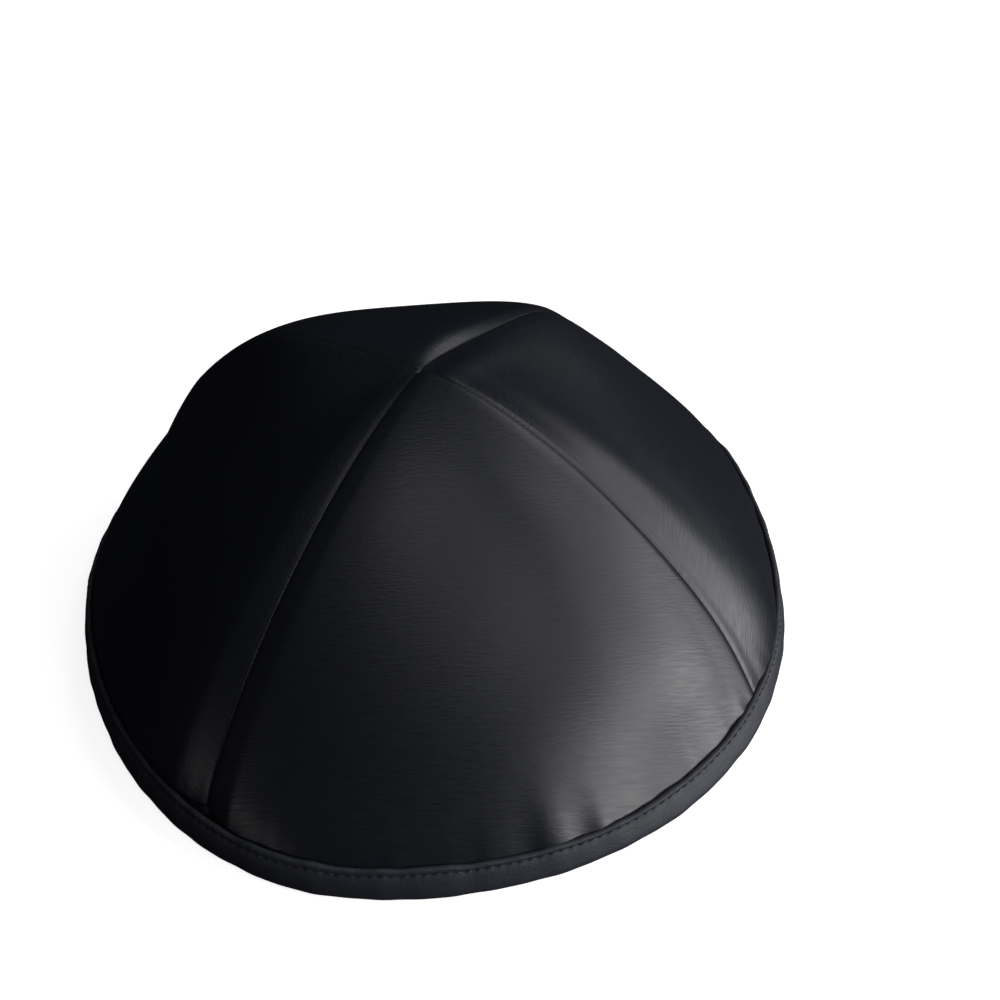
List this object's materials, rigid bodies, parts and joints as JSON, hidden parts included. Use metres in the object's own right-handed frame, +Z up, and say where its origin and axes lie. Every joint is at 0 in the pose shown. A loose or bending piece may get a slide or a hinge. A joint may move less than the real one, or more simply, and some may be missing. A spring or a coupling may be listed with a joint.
{
  "type": "skullcap",
  "caption": "Panelled satin dome skullcap with a folded band bound round its rim, open below for the crown of the head.",
  "frame": {"origin": "centre of the cap's plan, on the surface that the rim rests on", "axes": "+Z up through the crown, the front toward -Y, +X to the cap's right as the front is faced"},
  "size_m": [0.174, 0.1744, 0.0689],
  "materials": {
    "panel_satin": "black satin with a soft broad sheen and a fine weave",
    "band_satin": "folded black satin binding, topstitched in black"
  },
  "bodies": {
    "root": {"panel_front": "panel_satin", "panel_right": "panel_satin", "panel_back": "panel_satin", "panel_left": "panel_satin", "rim_band": "band_satin"}
  },
  "joints": []
}
